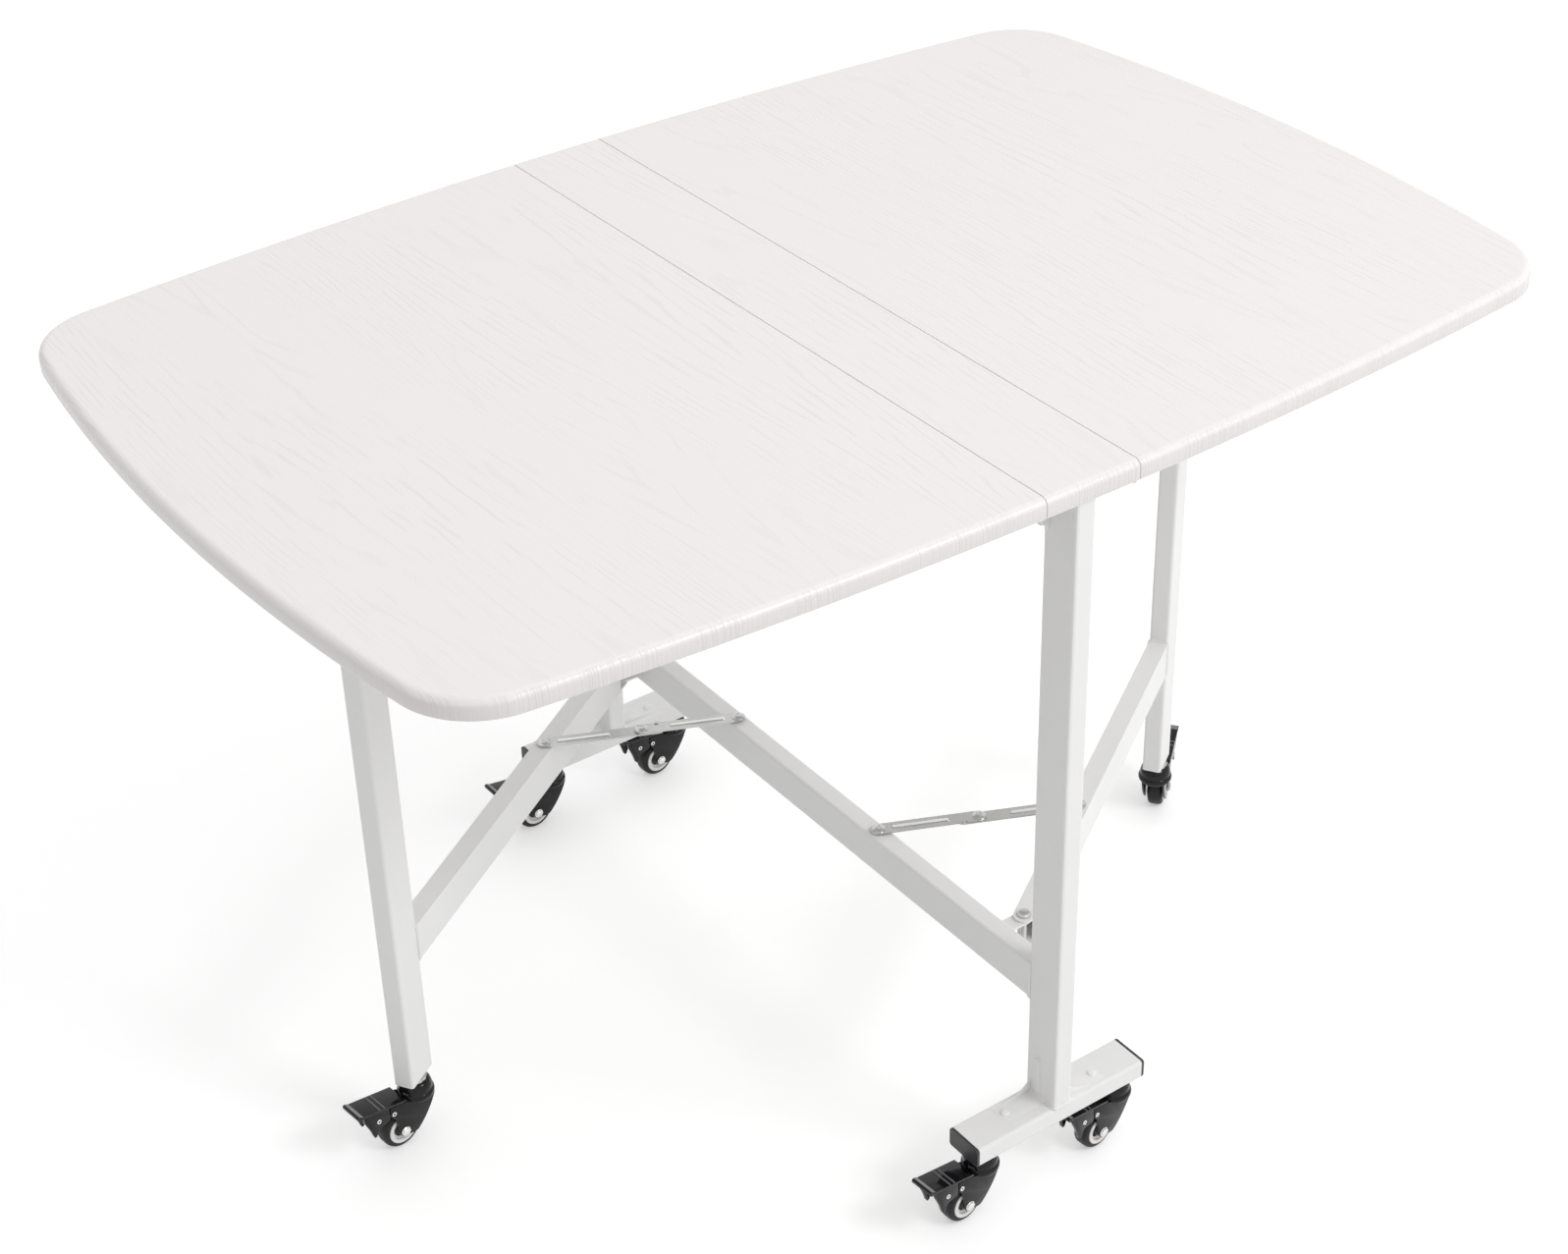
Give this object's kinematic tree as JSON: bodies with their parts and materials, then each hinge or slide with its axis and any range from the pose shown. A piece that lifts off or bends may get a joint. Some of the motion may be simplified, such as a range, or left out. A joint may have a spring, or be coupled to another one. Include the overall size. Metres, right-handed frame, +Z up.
{
  "type": "folding drop-leaf dining table",
  "caption": "White folding dining table with a narrow fixed strip, hinged leaves on swinging gate legs, flat folding stays and braked swivel casters.",
  "frame": {"origin": "floor point under the middle of the fixed centre strip, centre of the bounding box's bottom face", "axes": "+X along the table's length towards the right leaf, +Y away from the picture's viewer along the centre strip, +Z up"},
  "size_m": [1.2, 0.8, 0.76],
  "materials": {
    "white_film": "satin",
    "white_paint": "satin",
    "zinc": "satin",
    "black_paint": "gloss",
    "black_rubber": "matte",
    "black_plastic": "matte",
    "white_plastic": "matte"
  },
  "bodies": {
    "frame": {"centre_panel": "white_film", "hinge_left_strip_half": "zinc", "hinge_right_strip_half": "zinc", "post_near": "white_paint", "post_far": "white_paint", "lower_rail": "white_paint", "upper_rail": "white_paint", "foot_near": "white_paint", "foot_far": "white_paint", "foot_cap_near_left": "black_plastic", "foot_cap_near_right": "black_plastic", "foot_cap_far_left": "black_plastic", "foot_cap_far_right": "black_plastic", "bracket_near_left": "white_paint", "bracket_near_right": "white_paint", "bracket_far_left": "white_paint", "bracket_far_right": "white_paint", "pivot_bolt_left": "zinc", "pivot_bolt_right": "zinc", "caster_near_left_mount": "zinc", "caster_near_right_mount": "zinc", "caster_far_left_mount": "zinc", "caster_far_right_mount": "zinc"},
    "leaf_left_body": {"leaf_left": "white_film", "hinge_left_leaf_half": "zinc", "leg_rest_left": "white_plastic"},
    "gate_left": {"gate_leg_left": "white_paint", "gate_rail_left": "white_paint", "leg_plug_left": "white_plastic", "caster_gate_left_mount": "zinc"},
    "stay_left_fixed": {"stay_left_fixed_link": "zinc"},
    "stay_left_moving": {"stay_left_moving_link": "zinc"},
    "leaf_right_body": {"leaf_right": "white_film", "hinge_right_leaf_half": "zinc", "leg_rest_right": "white_plastic"},
    "gate_right": {"gate_leg_right": "white_paint", "gate_rail_right": "white_paint", "leg_plug_right": "white_plastic", "caster_gate_right_mount": "zinc"},
    "stay_right_fixed": {"stay_right_fixed_link": "zinc"},
    "stay_right_moving": {"stay_right_moving_link": "zinc"},
    "caster_near_left_swivel": {"caster_near_left_fork": "black_paint"},
    "caster_near_left_roll": {"caster_near_left_wheel": "black_rubber"},
    "caster_near_left_brake": {"caster_near_left_pedal": "black_paint"},
    "caster_near_right_swivel": {"caster_near_right_fork": "black_paint"},
    "caster_near_right_roll": {"caster_near_right_wheel": "black_rubber"},
    "caster_near_right_brake": {"caster_near_right_pedal": "black_paint"},
    "caster_far_left_swivel": {"caster_far_left_fork": "black_paint"},
    "caster_far_left_roll": {"caster_far_left_wheel": "black_rubber"},
    "caster_far_left_brake": {"caster_far_left_pedal": "black_paint"},
    "caster_far_right_swivel": {"caster_far_right_fork": "black_paint"},
    "caster_far_right_roll": {"caster_far_right_wheel": "black_rubber"},
    "caster_far_right_brake": {"caster_far_right_pedal": "black_paint"},
    "caster_gate_left_swivel": {"caster_gate_left_fork": "black_paint"},
    "caster_gate_left_roll": {"caster_gate_left_wheel": "black_rubber"},
    "caster_gate_left_brake": {"caster_gate_left_pedal": "black_paint"},
    "caster_gate_right_swivel": {"caster_gate_right_fork": "black_paint"},
    "caster_gate_right_roll": {"caster_gate_right_wheel": "black_rubber"},
    "caster_gate_right_brake": {"caster_gate_right_pedal": "black_paint"}
  },
  "joints": [
    {"name": "leaf_left_lift", "type": "hinge", "parent": "frame", "child": "leaf_left_body", "pos_m": [-0.0485, 0, 0.7389], "axis": [0, 1, 0], "range_deg": [0, 1.5]},
    {"name": "gate_left_swing", "type": "hinge", "parent": "frame", "child": "gate_left", "pos_m": [-0.03, 0.296, 0.218], "axis": [0, 0, 1], "range_deg": [0, 57]},
    {"name": "stay_left_anchor", "type": "hinge", "parent": "frame", "child": "stay_left_fixed", "pos_m": [0, 0.1165, 0.24], "axis": [0, 0, 1], "range_deg": [-63, 0]},
    {"name": "stay_left_knee", "type": "hinge", "parent": "stay_left_fixed", "child": "stay_left_moving", "pos_m": [-0.08887, 0.15843, 0.24], "axis": [0, 0, 1], "range_deg": [0, 163]},
    {"name": "leaf_right_lift", "type": "hinge", "parent": "frame", "child": "leaf_right_body", "pos_m": [0.0485, 0, 0.7389], "axis": [0, -1, 0], "range_deg": [0, 1.5]},
    {"name": "gate_right_swing", "type": "hinge", "parent": "frame", "child": "gate_right", "pos_m": [0.03, -0.296, 0.218], "axis": [0, 0, 1], "range_deg": [0, 57]},
    {"name": "stay_right_anchor", "type": "hinge", "parent": "frame", "child": "stay_right_fixed", "pos_m": [0, -0.1165, 0.24], "axis": [0, 0, 1], "range_deg": [-63, 0]},
    {"name": "stay_right_knee", "type": "hinge", "parent": "stay_right_fixed", "child": "stay_right_moving", "pos_m": [0.08887, -0.15843, 0.24], "axis": [0, 0, 1], "range_deg": [0, 163]},
    {"name": "caster_near_left_swivel_joint", "type": "hinge", "parent": "frame", "child": "caster_near_left_swivel", "pos_m": [-0.08, -0.372, 0.06], "axis": [0, 0, 1], "continuous": true},
    {"name": "caster_near_left_roll_joint", "type": "hinge", "parent": "caster_near_left_swivel", "child": "caster_near_left_roll", "pos_m": [-0.10391, -0.37409, 0.021], "axis": [0.0872, -0.9962, 0], "continuous": true},
    {"name": "caster_near_left_brake_joint", "type": "hinge", "parent": "caster_near_left_swivel", "child": "caster_near_left_brake", "pos_m": [-0.11407, -0.37498, 0.049], "axis": [0.0872, -0.9962, 0], "range_deg": [0, 8]},
    {"name": "caster_near_right_swivel_joint", "type": "hinge", "parent": "frame", "child": "caster_near_right_swivel", "pos_m": [0.08, -0.372, 0.06], "axis": [0, 0, 1], "continuous": true},
    {"name": "caster_near_right_roll_joint", "type": "hinge", "parent": "caster_near_right_swivel", "child": "caster_near_right_roll", "pos_m": [0.05618, -0.37493, 0.021], "axis": [0.1219, -0.9925, 0], "continuous": true},
    {"name": "caster_near_right_brake_joint", "type": "hinge", "parent": "caster_near_right_swivel", "child": "caster_near_right_brake", "pos_m": [0.04605, -0.37617, 0.049], "axis": [0.1219, -0.9925, 0], "range_deg": [0, 8]},
    {"name": "caster_far_left_swivel_joint", "type": "hinge", "parent": "frame", "child": "caster_far_left_swivel", "pos_m": [-0.08, 0.372, 0.06], "axis": [0, 0, 1], "continuous": true},
    {"name": "caster_far_left_roll_joint", "type": "hinge", "parent": "caster_far_left_swivel", "child": "caster_far_left_roll", "pos_m": [-0.10398, 0.37116, 0.021], "axis": [0.0349, -0.9994, 0], "continuous": true},
    {"name": "caster_far_left_brake_joint", "type": "hinge", "parent": "caster_far_left_swivel", "child": "caster_far_left_brake", "pos_m": [-0.11418, 0.37081, 0.049], "axis": [0.0349, -0.9994, 0], "range_deg": [0, 8]},
    {"name": "caster_far_right_swivel_joint", "type": "hinge", "parent": "frame", "child": "caster_far_right_swivel", "pos_m": [0.08, 0.372, 0.06], "axis": [0, 0, 1], "continuous": true},
    {"name": "caster_far_right_roll_joint", "type": "hinge", "parent": "caster_far_right_swivel", "child": "caster_far_right_roll", "pos_m": [0.05606, 0.37033, 0.021], "axis": [0.0698, -0.9976, 0], "continuous": true},
    {"name": "caster_far_right_brake_joint", "type": "hinge", "parent": "caster_far_right_swivel", "child": "caster_far_right_brake", "pos_m": [0.04588, 0.36961, 0.049], "axis": [0.0698, -0.9976, 0], "range_deg": [0, 8]},
    {"name": "caster_gate_left_swivel_joint", "type": "hinge", "parent": "gate_left", "child": "caster_gate_left_swivel", "pos_m": [-0.444, 0.028, 0.06], "axis": [0, 0, 1], "continuous": true},
    {"name": "caster_gate_left_roll_joint", "type": "hinge", "parent": "caster_gate_left_swivel", "child": "caster_gate_left_roll", "pos_m": [-0.46782, 0.02508, 0.021], "axis": [0.1219, -0.9925, 0], "continuous": true},
    {"name": "caster_gate_left_brake_joint", "type": "hinge", "parent": "caster_gate_left_swivel", "child": "caster_gate_left_brake", "pos_m": [-0.47795, 0.02383, 0.049], "axis": [0.1219, -0.9925, 0], "range_deg": [0, 8]},
    {"name": "caster_gate_right_swivel_joint", "type": "hinge", "parent": "gate_right", "child": "caster_gate_right_swivel", "pos_m": [0.444, -0.028, 0.06], "axis": [0, 0, 1], "continuous": true},
    {"name": "caster_gate_right_roll_joint", "type": "hinge", "parent": "caster_gate_right_swivel", "child": "caster_gate_right_roll", "pos_m": [0.46291, -0.01322, 0.021], "axis": [-0.6157, 0.788, 0], "continuous": true},
    {"name": "caster_gate_right_brake_joint", "type": "hinge", "parent": "caster_gate_right_swivel", "child": "caster_gate_right_brake", "pos_m": [0.47095, -0.00694, 0.049], "axis": [-0.6157, 0.788, 0], "range_deg": [0, 8]}
  ],
  "couplings": [
    {"joint": "stay_left_anchor", "follows": "gate_left_swing", "ratio": -1.0959},
    {"joint": "stay_left_knee", "follows": "gate_left_swing", "ratio": 2.8436},
    {"joint": "stay_right_anchor", "follows": "gate_right_swing", "ratio": -1.0959},
    {"joint": "stay_right_knee", "follows": "gate_right_swing", "ratio": 2.8436}
  ]
}
